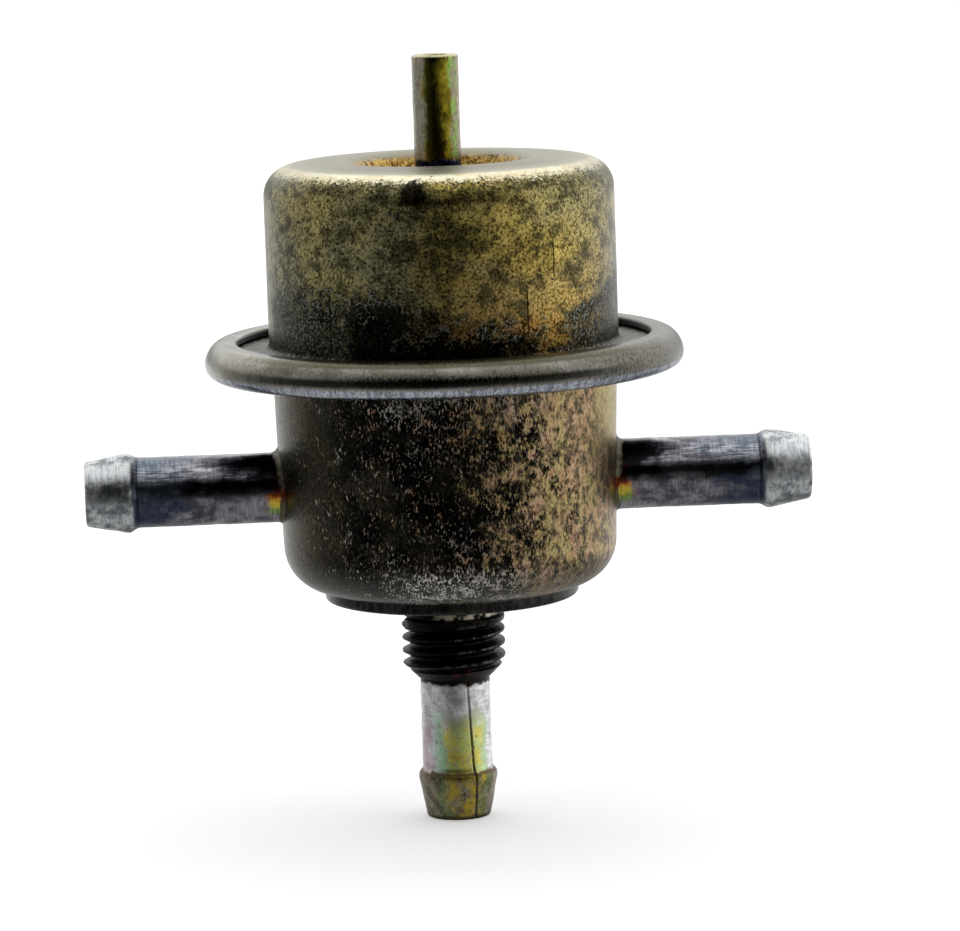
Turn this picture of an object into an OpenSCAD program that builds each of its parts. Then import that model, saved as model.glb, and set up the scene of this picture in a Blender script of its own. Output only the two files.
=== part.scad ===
// Diaphragm pressure regulator with two side hose ports, a threaded mounting
// sleeve round its return port, and a vacuum nipple on its spring housing.
// Millimetres. The origin is the centre of the bracket seat, under the fluid
// housing; +Z points up through the nipple and +X along the right port.

/* [Spring housing] */
// Outer radius of the spring housing
spring_can_r = 19.9; // [19.6:0.1:20.2]
// Height of the spring housing's crest above the bracket seat
can_top_z = 50.2; // [50:0.1:52]
// Thickness of the spring housing's sheet
spring_sheet = 1.2; // [1:0.1:1.2]
// Radius of the shoulder between the wall and the top
shoulder_r = 3.4; // [2.8:0.1:4]
// Radius of the top's crest, round the recess
recess_crest_r = 11.3; // [11.1:0.1:11.8]
// Depth of the recess below the crest
recess_depth = 4; // [3.8:0.1:4.2]

/* [Fluid housing] */
// Outer radius of the fluid housing just under its rim
fluid_can_r = 19.55; // [19.3:0.05:19.8]
// Outer radius of the fluid housing at its foot
fluid_foot_r = 19; // [18.8:0.1:19.2]
// Thickness of the fluid housing's sheet
fluid_sheet = 1.1; // [1:0.05:1.15]
// Radius of the fluid housing's bottom corner
foot_corner_r = 5; // [4.8:0.1:5.2]
// Radius of the bracket seat
bracket_seat_r = 14.5; // [14.4:0.1:15]
// Height of the step round the bracket seat
seat_step = 1.3; // [1.2:0.1:1.5]

/* [Rolled rim] */
// Height of the middle of the rolled rim
rim_z = 28; // [27.9:0.05:28.1]
// Radius of the middle of the rim's bend
rim_r = 25.15; // [25.1:0.05:25.6]
// Height of the rolled rim
rim_height = 4.15; // [4.1:0.05:4.3]
// Inner radius of the lip that lies over the spring housing's flange
lip_r = 23.5; // [23:0.1:24]
// Thickness of the diaphragm's clamped edge
diaphragm_t = 0.75; // [0.7:0.05:0.8]

/* [Hose ports] */
// Outer radius of the hose tubes
tube_r = 4; // [3.9:0.05:4.1]
// Inner radius of the hose tubes
tube_bore_r = 3; // [2.8:0.1:3.1]
// Outer radius of a hose barb's crest
barb_r = 4.5; // [4.4:0.05:4.7]
// Height of the side ports above the bracket seat
port_z = 13.2; // [12:0.1:14]
// Distance from the axis to the end of a side port
port_reach = 41.4; // [38:0.1:46]
// Distance from the bracket seat down to the end of the return port
return_reach = 25.7; // [22:0.1:30]

/* [Mounting sleeve] */
// Outer radius of the sleeve's M12 thread
thread_r = 5.9; // [5.87:0.01:5.95]
// Pitch of the thread
thread_pitch = 1.5; // [1.25, 1.5, 1.75]
// Distance from the bracket seat down to the end of the sleeve
sleeve_reach = 9.3; // [9:0.1:11]

/* [Vacuum nipple] */
// Outer radius of the vacuum nipple
nipple_r = 2.65; // [2.4:0.05:2.8]
// Inner radius of the vacuum nipple
nipple_bore_r = 1.65; // [1.4:0.05:1.8]
// Height of the nipple's end above the bracket seat
nipple_top_z = 61.9; // [58:0.1:66]

/* [Valve] */
// Height of the valve seat's face above the bracket seat
valve_seat_z = 19; // [18.8:0.1:19.2]
// Gap between the closed valve plate and the seat, which lets the plate tilt
valve_gap = 0.1; // [0.08:0.01:0.12]
// Radius of the valve's orifice
orifice_r = 1.9; // [1.5:0.1:2]
// Radius of the valve plate
valve_plate_r = 3.4; // [3.2:0.1:3.5]
// Radius of the swivel ball
ball_r = 2.4; // [2.38:0.01:2.42]
// Radius of the valve holder
holder_r = 5; // [4.8:0.1:5.5]

/* [Main spring] */
// Mean radius of the main spring's coils
spring_r = 12; // [11.95:0.05:12.05]
// Wire thickness of the main spring
spring_wire = 2.2; // [2:0.1:2.2]
// Number of turns of the main spring
spring_turns = 5.75; // [5:0.25:6]

/* [Hidden] */

$fn = 96;
bend_steps = 8;

// The clamped stack in the rim, from its middle outwards
rim_top_z = rim_z + rim_height / 2;
rim_bottom_z = rim_z - rim_height / 2;
diaphragm_z = rim_bottom_z + fluid_sheet;
spring_flange_z = diaphragm_z + diaphragm_t;
stack_r = rim_r - 0.05;

// Bends of the spring housing
flange_bend_r = 0.8;
recess_rim_r = 2;
recess_floor_bend_r = 1.2;
recess_wall_angle = 30;
crown_angle = 4;
recess_floor_z = can_top_z - recess_depth;
recess_under_z = recess_floor_z - spring_sheet;

// Bends of the fluid housing
rim_bend_r = 1;
step_bend_r = 0.3;
seat_edge_r = 0.5;
foot_z = seat_step + foot_corner_r;
foot_arc_end = -80;
fluid_taper = atan((fluid_can_r - fluid_foot_r) / (rim_bottom_z - rim_bend_r - foot_z));

// Hose barbs
barb_back = 0.7;
barb_land = 0.5;
barb_cone = 4.6;
barb_tip_r = 3.65;
barb_tip_round = 0.5;
barb_cone_angle = atan((barb_r - barb_tip_r) / barb_cone);
port_inner_x = 16.5;

// Fillets of filler metal
port_braze_leg = 0.9;
port_braze_gap = 0.005;
nipple_braze_leg = 1.2;
collar_braze_leg = 1.1;
return_braze_leg = 1;

// Vacuum nipple: its foot is necked down where it goes through the housing
nipple_foot_r = nipple_r - 0.2;
nipple_neck_z = recess_floor_z + nipple_braze_leg;
nipple_low_z = recess_under_z - 1.4;
nipple_end_round = 0.5;
nipple_mouth = 0.2;

// Mounting sleeve
sleeve_shank_r = thread_r + 0.1;
sleeve_shank_z = 0.2;
sleeve_neck_r = 5.45;
sleeve_neck_z = -2.1;
sleeve_end_r = 4.25;
sleeve_collar_r = 7.5;
sleeve_collar_t = 1.5;
thread_start_z = sleeve_neck_z - 0.3;
thread_root_r = 5.05;
thread_clear = 0.1;
thread_crest_w = 0.2;
thread_root_w = 0.25;
thread_segments = 24;
thread_start_angle = 195;

// Valve, from the seat upwards
return_top_z = valve_seat_z - 2;
seat_shoulder_r = 4.4;
seat_shoulder_t = 1;
seat_nose_r = 2.6;
seat_land_r = 2.35;
seat_plug_length = 4;
valve_plate_t = 1;
plate_z = valve_seat_z + valve_gap;
ball_flat_z = plate_z + valve_plate_t;
ball_flat_depth = 1.7;
ball_z = ball_flat_z + ball_flat_depth;
retainer_t = 0.5;
retainer_z = ball_flat_z + 0.25;
retainer_r = 3.9;
retainer_hole_r = 2.25;
holder_bore_r = ball_r + 0.1;
pocket_r = 1.5;
holder_cone_top_z = ball_z + 2;
holder_cone_z = holder_cone_top_z - (holder_bore_r - pocket_r);
holder_flange_t = 1;
holder_flange_r = holder_r + 1;
ball_spring_r = 1.1;
ball_spring_wire = 0.4;
ball_spring_turns = 4;
ball_spring_gap = 0.03;
pocket_top_z = ball_z + ball_r + 2;

// Diaphragm group, from the holder's flange upwards
spigot_r = 3.6;
clamp_plate_z = 24.4;
clamp_plate_t = 1;
clamp_plate_r = 13.2;
hub_z = clamp_plate_z + clamp_plate_t;
cup_z = hub_z + diaphragm_t;
cup_floor_t = 1;
cup_wall_t = 0.8;
cup_clearance = 0.3;
cup_inner_r = spring_r + spring_wire / 2 + cup_clearance;
cup_r = cup_inner_r + cup_wall_t;
cup_height = 3.3;
rivet_r = 4.8;
rivet_t = 0.8;
fold_outer_r = 17.8;

// Upper spring seat
seat_sheet = 0.8;
seat_boss_r = 10.7;
seat_flange_r = 13.6;
seat_flange_z = recess_under_z + seat_sheet;
seat_hole_r = 4;

// Main spring between the cup's floor and the upper seat
spring_low_z = cup_z + cup_floor_t;
spring_high_z = seat_flange_z;
coil_end_turns = 0.9;

// Points on an arc about centre c, from angle a to angle b
function bend(c, r, a, b) =
    [for (i = [0:bend_steps]) c + r * [cos(a + (b - a) * i / bend_steps), sin(a + (b - a) * i / bend_steps)]];

// The same list the other way round
function reversed(list) = [for (i = [len(list) - 1:-1:0]) list[i]];

// A list of rings, each a list of points, joined into one closed solid
module sweep(rings) {
    n = len(rings[0]);
    last = (len(rings) - 1) * n;
    sides = [
        for (i = [0:len(rings) - 2], j = [0:n - 1])
            [i * n + j, i * n + (j + 1) % n, (i + 1) * n + (j + 1) % n, (i + 1) * n + j]
    ];
    start_cap = [for (j = [n - 1:-1:0]) j];
    end_cap = [for (j = [0:n - 1]) last + j];
    polyhedron([for (ring = rings, point = ring) point], concat([start_cap], sides, [end_cap]));
}

// A flat outline of [radius, height] points, stood up at an angle round Z and raised
function stood_up(outline, angle, z) =
    [for (p = outline) [p[0] * cos(angle), p[0] * sin(angle), p[1] + z]];

// A coil's height after some turns: its end turns lie close and the rest are open
function coil_z(turn, turns, height, wire) =
    let(
        close = min(turn, coil_end_turns) + max(turn - turns + coil_end_turns, 0),
        open = turn - close,
        end_pitch = wire * 1.1,
        rise = height - wire / 2 - 2 * coil_end_turns * end_pitch
    )
    wire / 4 + close * end_pitch + open * rise / (turns - 2 * coil_end_turns);

// A wire coil on Z from height 0, its ends reaching wire / 4 past each seat
module coil(mean_r, wire, turns, height, sides, segments) {
    section = [for (i = [0:sides - 1]) [mean_r + wire / 2 * cos(360 * i / sides), wire / 2 * sin(360 * i / sides)]];
    steps = turns * segments;
    sweep([
        for (i = [0:steps])
            stood_up(section, 360 * i / segments, coil_z(i / segments, turns, height, wire))
    ]);
}

// A concave ring of filler in the corner between a wall at radius r and a floor at height 0
module braze_ring(r, leg) {
    rotate_extrude()
        polygon(concat([[r, 0]], bend([r + leg, leg], leg, 270, 180)));
}

// Outline of the spring housing's surface: inset 0 is its outside and the sheet's thickness its inside
function spring_can_outline(inset) =
    let(
        flange_c = [spring_can_r + flange_bend_r, spring_flange_z + spring_sheet + flange_bend_r],
        rim_c = [recess_crest_r, can_top_z - recess_rim_r],
        shoulder_x = spring_can_r - shoulder_r,
        shoulder_z = rim_c[1] + ((rim_c[0] - shoulder_x) * sin(crown_angle) + recess_rim_r - shoulder_r)
            / cos(crown_angle),
        rim_end = rim_c + recess_rim_r * [-cos(recess_wall_angle), sin(recess_wall_angle)],
        floor_c_z = recess_floor_z + recess_floor_bend_r,
        wall_drop = rim_end[1] - floor_c_z + recess_floor_bend_r * sin(recess_wall_angle),
        floor_c_x = rim_end[0] - wall_drop * tan(recess_wall_angle)
            - recess_floor_bend_r * cos(recess_wall_angle)
    )
    concat(
        [[stack_r, spring_flange_z + spring_sheet - inset]],
        bend(flange_c, flange_bend_r + inset, 270, 180),
        bend([shoulder_x, shoulder_z], shoulder_r - inset, 0, 90 - crown_angle),
        bend(rim_c, recess_rim_r - inset, 90 - crown_angle, 180 - recess_wall_angle),
        bend([floor_c_x, floor_c_z], recess_floor_bend_r + inset, -recess_wall_angle, -90),
        [[nipple_foot_r, recess_floor_z - inset]]
    );

module spring_housing() {
    color("darkkhaki")
        rotate_extrude()
            polygon(concat(spring_can_outline(0), reversed(spring_can_outline(spring_sheet))));
}

module vacuum_nipple() {
    end_c = [nipple_r - nipple_end_round, nipple_top_z - nipple_end_round];
    color("darkolivegreen")
        rotate_extrude()
            polygon(concat(
                [[nipple_bore_r, nipple_low_z], [nipple_foot_r, nipple_low_z], [nipple_foot_r, nipple_neck_z]],
                [[nipple_r, nipple_neck_z + nipple_r - nipple_foot_r]],
                bend(end_c, nipple_end_round, 0, 90),
                [[nipple_bore_r + nipple_mouth, nipple_top_z], [nipple_bore_r, nipple_top_z - nipple_mouth]]
            ));
}

module nipple_braze() {
    color("saddlebrown")
        translate([0, 0, recess_floor_z])
            braze_ring(nipple_foot_r, nipple_braze_leg);
}

// Outline of the fluid housing's surface below its rim, from the rim's bend down to the sleeve
function fluid_can_outline(inset) =
    let(
        bend_c = [fluid_can_r + rim_bend_r, rim_bottom_z - rim_bend_r],
        foot_c = [fluid_foot_r - foot_corner_r, foot_z],
        step_c = [bracket_seat_r + step_bend_r, seat_step - step_bend_r],
        edge_c = [bracket_seat_r - fluid_sheet, fluid_sheet]
    )
    concat(
        bend(bend_c, rim_bend_r + inset, 90, 180 - fluid_taper),
        bend(foot_c, foot_corner_r - inset, -fluid_taper, foot_arc_end),
        inset == 0
            ? concat([[bracket_seat_r, seat_step]], bend([bracket_seat_r - seat_edge_r, seat_edge_r], seat_edge_r, 0, -90))
            : [[step_c[0] - inset, seat_step + inset], edge_c],
        [[sleeve_shank_r, inset]]
    );

module fluid_housing_shell() {
    lip_round = fluid_sheet / 2 - 0.05;
    bend_c = [rim_r, rim_z];
    rotate_extrude()
        polygon(concat(
            bend([lip_r + lip_round, rim_top_z - lip_round], lip_round, 180, 90),
            bend(bend_c, rim_height / 2, 90, -90),
            fluid_can_outline(0),
            reversed(fluid_can_outline(fluid_sheet)),
            bend(bend_c, rim_height / 2 - fluid_sheet, -90, 90),
            bend([lip_r + lip_round, rim_top_z - fluid_sheet + lip_round], lip_round, 270, 180)
        ));
}

module fluid_housing() {
    color("dimgray")
        difference() {
            fluid_housing_shell();
            translate([0, 0, port_z])
                rotate([0, 90, 0])
                    cylinder(r = tube_r, h = 2 * rim_r, center = true);
        }
}

// A hose tube along Z from its open end at height 0 to its barb's tip
module hose_tube(length) {
    crest_z = length - barb_cone - barb_land;
    mouth = 0.3;
    rotate_extrude()
        polygon(concat(
            [[tube_bore_r, 0], [tube_r, 0], [tube_r, crest_z - barb_back], [barb_r, crest_z]],
            [[barb_r, crest_z + barb_land]],
            bend([barb_tip_r - barb_tip_round, length - barb_tip_round], barb_tip_round, barb_cone_angle, 90),
            [[tube_bore_r + mouth, length], [tube_bore_r, length - mouth]]
        ));
}

// Points what it holds along +X or -X at the ports' height
module at_port(side) {
    translate([0, 0, port_z])
        rotate([0, 90 * side, 0])
            children();
}

module port_tube(side) {
    color("slategray")
        at_port(side)
            translate([0, 0, port_inner_x])
                hose_tube(port_reach - port_inner_x);
}

module port_braze(side) {
    wall_x = fluid_foot_r + (port_z - foot_z) * tan(fluid_taper);
    color("goldenrod")
        difference() {
            at_port(side)
                translate([0, 0, wall_x - port_braze_leg])
                    rotate_extrude()
                        polygon(concat(
                            [[tube_r, 0], [tube_r + port_braze_leg, 0]],
                            bend([tube_r + port_braze_leg, 2 * port_braze_leg], port_braze_leg, 270, 180)
                        ));
            translate([0, 0, foot_z])
                cylinder(
                    r1 = fluid_foot_r + port_braze_gap, r2 = fluid_can_r + port_braze_gap,
                    h = rim_bottom_z - rim_bend_r - foot_z, $fn = 720
                );
        }
}

// The V-shaped helical groove between the thread's crests
module thread_groove() {
    depth = thread_r - thread_root_r;
    outer_r = thread_r + thread_clear;
    outer_w = thread_root_w + (thread_pitch - thread_crest_w - thread_root_w) * (depth + thread_clear) / depth;
    groove = [
        [thread_root_r, thread_root_w / 2], [outer_r, outer_w / 2],
        [outer_r, -outer_w / 2], [thread_root_r, -thread_root_w / 2]
    ];
    turns = (sleeve_reach + thread_start_z) / thread_pitch;
    sweep([
        for (i = [0:turns * thread_segments])
            stood_up(
                groove,
                thread_start_angle - 360 * i / thread_segments,
                thread_start_z - thread_pitch * i / thread_segments
            )
    ]);
}

// The sleeve's blank below the seat, with as many flats as two of its thread's steps
module sleeve_blank() {
    chamfer = thread_r - sleeve_end_r;
    $fn = 2 * thread_segments;
    hull()
        translate([0, 0, thread_start_z])
            cylinder(r = sleeve_neck_r, h = sleeve_shank_z - thread_start_z);
    hull() {
        translate([0, 0, chamfer - sleeve_reach])
            cylinder(r = thread_r, h = thread_start_z - chamfer + sleeve_reach);
        translate([0, 0, -sleeve_reach])
            cylinder(r = sleeve_end_r, h = sleeve_reach + sleeve_neck_z);
    }
}

module threaded_sleeve() {
    color("darkslategray")
        difference() {
            union() {
                sleeve_blank();
                translate([0, 0, sleeve_shank_z])
                    cylinder(r = sleeve_shank_r, h = fluid_sheet + sleeve_collar_t - sleeve_shank_z);
                translate([0, 0, fluid_sheet])
                    cylinder(r = sleeve_collar_r, h = sleeve_collar_t);
            }
            thread_groove();
            translate([0, 0, -2 * sleeve_reach])
                cylinder(r = tube_r, h = 4 * sleeve_reach);
        }
}

module sleeve_braze() {
    color("goldenrod")
        translate([0, 0, fluid_sheet])
            braze_ring(sleeve_collar_r, collar_braze_leg);
}

module return_tube() {
    color("lightgray")
        translate([0, 0, return_top_z])
            rotate([180, 0, 0])
                hose_tube(return_top_z + return_reach);
}

module return_tube_braze() {
    color("goldenrod")
        translate([0, 0, fluid_sheet + sleeve_collar_t])
            braze_ring(tube_r, return_braze_leg);
}

module valve_seat() {
    color("gold")
        rotate_extrude()
            polygon([
                [orifice_r, return_top_z - seat_plug_length], [tube_bore_r, return_top_z - seat_plug_length],
                [tube_bore_r, return_top_z], [seat_shoulder_r, return_top_z],
                [seat_shoulder_r, return_top_z + seat_shoulder_t], [seat_nose_r, return_top_z + seat_shoulder_t],
                [seat_land_r, valve_seat_z], [orifice_r, valve_seat_z]
            ]);
}

module valve_plate() {
    edge = 0.2;
    color("silver")
        translate([0, 0, plate_z])
            rotate_extrude()
                polygon([
                    [0, 0], [valve_plate_r - edge, 0], [valve_plate_r, edge],
                    [valve_plate_r, valve_plate_t - edge], [valve_plate_r - edge, valve_plate_t], [0, valve_plate_t]
                ]);
}

module valve_ball() {
    color("whitesmoke")
        difference() {
            translate([0, 0, ball_z])
                sphere(r = ball_r);
            translate([-ball_r, -ball_r, ball_flat_z - ball_r])
                cube([2 * ball_r, 2 * ball_r, ball_r]);
        }
}

module ball_retainer() {
    color("gray")
        translate([0, 0, retainer_z])
            difference() {
                cylinder(r = retainer_r, h = retainer_t);
                translate([0, 0, -1])
                    cylinder(r = retainer_hole_r, h = retainer_t + 2);
            }
}

module ball_spring() {
    contact_r = ball_r + ball_spring_wire / 2 + ball_spring_gap;
    low_z = ball_z + sqrt(pow(contact_r, 2) - pow(ball_spring_r, 2)) - ball_spring_wire / 4;
    color("silver")
        intersection() {
            translate([0, 0, low_z])
                coil(ball_spring_r, ball_spring_wire, ball_spring_turns, pocket_top_z - low_z, 6, 12);
            translate([0, 0, ball_z])
                cylinder(r = pocket_r, h = pocket_top_z - ball_z);
        }
}

module valve_holder() {
    edge = 0.3;
    flange_z = clamp_plate_z - holder_flange_t;
    rivet_z = cup_z + cup_floor_t;
    color("burlywood")
        rotate_extrude()
            polygon([
                [retainer_r, retainer_z], [holder_r - edge, retainer_z], [holder_r, retainer_z + edge],
                [holder_r, flange_z], [holder_flange_r, flange_z],
                [holder_flange_r, clamp_plate_z], [spigot_r, clamp_plate_z],
                [spigot_r, rivet_z], [rivet_r, rivet_z], [rivet_r, rivet_z + rivet_t / 2],
                [rivet_r - rivet_t / 2, rivet_z + rivet_t], [0, rivet_z + rivet_t],
                [0, pocket_top_z], [pocket_r, pocket_top_z], [pocket_r, holder_cone_top_z],
                [holder_bore_r, holder_cone_z], [holder_bore_r, retainer_z + retainer_t],
                [retainer_r, retainer_z + retainer_t]
            ]);
}

module clamp_plate() {
    edge = 0.5;
    color("silver")
        translate([0, 0, clamp_plate_z])
            rotate_extrude()
                polygon(concat(
                    [[spigot_r, 0]],
                    bend([clamp_plate_r - edge, edge], edge, -90, 90),
                    [[spigot_r, clamp_plate_t]]
                ));
}

// Height of the diaphragm's underside at radius r: flat hub, one smooth fold, flat rim
function diaphragm_under_z(r) =
    let(share = max(0, min(1, (r - cup_r) / (fold_outer_r - cup_r))))
    hub_z + (diaphragm_z - hub_z) * (1 - cos(180 * share)) / 2;

module diaphragm() {
    fold_steps = 12;
    radii = concat(
        [spigot_r],
        [for (i = [0:fold_steps]) cup_r + (fold_outer_r - cup_r) * i / fold_steps],
        [stack_r]
    );
    under = [for (r = radii) [r, diaphragm_under_z(r)]];
    over = [for (p = under) p + [0, diaphragm_t]];
    color("black")
        rotate_extrude()
            polygon(concat(under, reversed(over)));
}

module spring_cup() {
    corner = 0.6;
    color("silver")
        translate([0, 0, cup_z])
            rotate_extrude()
                polygon(concat(
                    [[spigot_r, 0]],
                    bend([cup_r - corner, corner], corner, -90, 0),
                    [[cup_r, cup_height], [cup_inner_r, cup_height], [cup_inner_r, cup_floor_t]],
                    [[spigot_r, cup_floor_t]]
                ));
}

module main_spring() {
    height = spring_high_z - spring_low_z;
    color("steelblue")
        translate([0, 0, spring_low_z])
            intersection() {
                coil(spring_r, spring_wire, spring_turns, height, 10, 20);
                cylinder(r = spring_r + spring_wire, h = height);
            }
}

module spring_seat() {
    boss_z = recess_under_z - seat_sheet;
    color("silver")
        rotate_extrude()
            polygon([
                [seat_hole_r, boss_z], [seat_boss_r, boss_z], [seat_boss_r, seat_flange_z],
                [seat_flange_r, seat_flange_z], [seat_flange_r, seat_flange_z + seat_sheet],
                [seat_boss_r - seat_sheet, seat_flange_z + seat_sheet],
                [seat_boss_r - seat_sheet, recess_under_z], [seat_hole_r, recess_under_z]
            ]);
}

spring_housing();
vacuum_nipple();
nipple_braze();
fluid_housing();
port_tube(-1);  // left_port
port_tube(1);  // right_port
port_braze(-1);  // left_port_braze
port_braze(1);  // right_port_braze
threaded_sleeve();
sleeve_braze();
return_tube();
return_tube_braze();
valve_seat();
valve_plate();
valve_ball();
ball_retainer();
ball_spring();
valve_holder();
clamp_plate();
diaphragm();
spring_cup();
main_spring();
spring_seat();
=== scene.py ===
"""Looks of a diaphragm pressure regulator: fine surfaces, worn metal, camera and light.

Outlines are in millimetres and repeat the CAD's own dimensions. Objects are in metres.
"""
import math

import bmesh
import bpy
import numpy as np
from mathutils import Matrix, Vector


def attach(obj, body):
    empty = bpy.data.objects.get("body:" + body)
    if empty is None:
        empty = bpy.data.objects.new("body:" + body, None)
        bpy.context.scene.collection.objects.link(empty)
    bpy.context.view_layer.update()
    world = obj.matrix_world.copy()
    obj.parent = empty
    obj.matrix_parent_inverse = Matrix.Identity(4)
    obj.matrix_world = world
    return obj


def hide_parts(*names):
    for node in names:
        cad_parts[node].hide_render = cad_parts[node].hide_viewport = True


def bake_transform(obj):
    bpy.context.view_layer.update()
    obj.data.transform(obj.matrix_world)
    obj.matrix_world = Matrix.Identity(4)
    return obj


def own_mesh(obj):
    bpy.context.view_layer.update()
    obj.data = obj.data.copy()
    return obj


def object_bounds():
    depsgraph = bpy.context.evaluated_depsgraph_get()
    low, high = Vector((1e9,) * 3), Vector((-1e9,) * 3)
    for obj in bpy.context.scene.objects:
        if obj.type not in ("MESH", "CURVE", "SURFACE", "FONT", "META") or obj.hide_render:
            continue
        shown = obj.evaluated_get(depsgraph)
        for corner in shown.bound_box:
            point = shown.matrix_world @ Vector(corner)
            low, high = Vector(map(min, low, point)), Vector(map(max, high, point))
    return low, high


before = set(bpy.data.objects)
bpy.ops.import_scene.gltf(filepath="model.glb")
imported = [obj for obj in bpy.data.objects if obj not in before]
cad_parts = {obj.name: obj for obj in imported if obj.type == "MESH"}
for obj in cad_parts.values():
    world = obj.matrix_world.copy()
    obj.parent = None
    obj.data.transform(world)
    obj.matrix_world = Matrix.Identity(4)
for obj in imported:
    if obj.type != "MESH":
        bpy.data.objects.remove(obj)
cad_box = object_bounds()

MM = 0.001

# The cans
SPRING_CAN_R = 19.9
CAN_TOP_Z = 50.2
SPRING_SHEET = 1.2
SHOULDER_R = 3.4
RECESS_CREST_R = 11.3
RECESS_FLOOR_Z = 46.2
FLANGE_BEND_R = 0.8
RECESS_RIM_R = 2.0
RECESS_FLOOR_BEND_R = 1.2
RECESS_WALL_ANGLE = 30.0
CROWN_ANGLE = 4.0
FLUID_CAN_R = 19.55
FLUID_FOOT_R = 19.0
FLUID_SHEET = 1.1
FOOT_CORNER_R = 5.0
FOOT_Z = 6.3
FOOT_ARC_END = -80.0
BRACKET_SEAT_R = 14.5
SEAT_STEP = 1.3
SEAT_EDGE_R = 0.5
STEP_BEND_R = 0.3
RIM_BEND_R = 1.0

# The rolled rim and what it clamps
RIM_Z = 28.0
RIM_R = 25.15
RIM_HEIGHT = 4.15
RIM_SAG = 0.43
LIP_R = 23.5
STACK_R = 25.1
RIM_TOP_Z = RIM_Z + RIM_HEIGHT / 2
RIM_BOTTOM_Z = RIM_Z - RIM_HEIGHT / 2
DIAPHRAGM_T = 0.75
DIAPHRAGM_Z = RIM_BOTTOM_Z + FLUID_SHEET
SPRING_FLANGE_Z = DIAPHRAGM_Z + DIAPHRAGM_T
WALL_TOP_Z = RIM_BOTTOM_Z - RIM_BEND_R
FLUID_TAPER = math.degrees(math.atan((FLUID_CAN_R - FLUID_FOOT_R) / (WALL_TOP_Z - FOOT_Z)))

# Hose tubes and their barbs
TUBE_R = 4.0
TUBE_BORE_R = 3.0
BARB_R = 4.5
BARB_BACK = 0.7
BARB_LAND = 0.5
BARB_CONE = 4.6
BARB_TIP_R = 3.65
PORT_Z = 13.2
PORT_REACH = 41.4
PORT_INNER_X = 16.5
RETURN_REACH = 25.7
RETURN_TOP_Z = 17.0
PORT_CREST_X = PORT_REACH - BARB_CONE - BARB_LAND
RETURN_CREST_Z = -(RETURN_REACH - BARB_CONE - BARB_LAND)

# Mounting sleeve
THREAD_R = 5.9
THREAD_ROOT_R = 5.05
THREAD_PITCH = 1.5
THREAD_START_Z = -2.4
THREAD_START_ANGLE = 195.0
SLEEVE_REACH = 9.3
SLEEVE_SHANK_R = 6.0
SLEEVE_SHANK_Z = 0.2
SLEEVE_NECK_R = 5.45
SLEEVE_END_R = 4.25
COLLAR_R = 7.5
COLLAR_T = 1.5

# Vacuum nipple
NIPPLE_R = 2.65
NIPPLE_FOOT_R = 2.45
NIPPLE_BORE_R = 1.65
NIPPLE_TOP_Z = 61.9
NIPPLE_LOW_Z = 43.6
NIPPLE_NECK_Z = 47.4

# Diaphragm and springs
HUB_Z = 25.4
CUP_R = 14.2
FOLD_OUTER_R = 17.8
SPIGOT_R = 3.6
SPRING_LOW_Z = 27.15
SPRING_HIGH_Z = 45.8
SPRING_R = 12.0
SPRING_WIRE = 2.2
SPRING_TURNS = 5.75
COIL_END_TURNS = 0.9
BALL_Z = 21.8
BALL_R = 2.4
BALL_SPRING_R = 1.1
BALL_SPRING_WIRE = 0.4
BALL_SPRING_TURNS = 4
BALL_SPRING_GAP = 0.03
POCKET_TOP_Z = 26.2

# The lengthwise seam in the return tube: its angle from the front at two heights
SEAM_TOP = (-9.3, 17.0)
SEAM_LOW = (-25.7, 29.0)

# Marks that the photo shows on the upper can: angles from the front, and heights
BLACK_SPOT = (-11, 47.9)
SCRATCHES = ((-41.6, 30, 36.5), (-34, 30, 35), (25.5, 31.5, 37), (36, 38, 42))

# The painted dark reflection along each side tube: the tube's side, and where its black streak starts and
# ends
DARK_REFLECTION_STREAKS = ((-1, 22, 29.5), (1, 29, 34.5))

# The photo's camera: angles in degrees, seen from the rim's centre, and places in mm
CAMERA_AZIMUTH = -2.59
CAMERA_ELEVATION = 7.07
CAMERA_ROLL = 1.833
CAMERA_DISTANCE = 600
CAMERA_AIM = (3.643, -0.165, 14.808)
CAMERA_LENS = 197.6

# How far filler rings reach into the metal, so that no gap shows
BRAZE_OVERLAP = 0.05

# The floor: its radius in metres, and the light of its own that keeps it white
FLOOR_R = 6
FLOOR_GLOW = 0.34


# ---------------------------------------------------------------- outlines


def bend(centre, radius, start, end, steps=12):
    """Points on an arc, from one angle in degrees to another."""
    angles = np.radians(np.linspace(start, end, steps + 1))
    return np.column_stack((centre[0] + radius * np.cos(angles), centre[1] + radius * np.sin(angles)))


def rounded(outline, radius, steps=5):
    """A closed outline with each sharp corner eased over radius on both sides."""
    points = []
    for i, corner in enumerate(outline):
        back = outline[i - 1] - corner
        ahead = outline[(i + 1) % len(outline)] - corner
        back_length, ahead_length = np.linalg.norm(back), np.linalg.norm(ahead)
        if np.dot(back, ahead) < -0.9 * back_length * ahead_length:
            points.append(corner)
            continue
        start = corner + back / back_length * min(radius, 0.45 * back_length)
        end = corner + ahead / ahead_length * min(radius, 0.45 * ahead_length)
        for t in np.linspace(0, 1, steps + 1):
            points.append((1 - t) ** 2 * start + 2 * t * (1 - t) * corner + t**2 * end)
    return np.array(points)


def refined(outline, step):
    """The same closed outline with no stretch longer than step."""
    points = []
    for here, there in zip(outline, np.roll(outline, -1, axis=0)):
        count = max(1, math.ceil(np.linalg.norm(there - here) / step))
        points.extend(here + (there - here) * i / count for i in range(count))
    return np.array(points)


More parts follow.
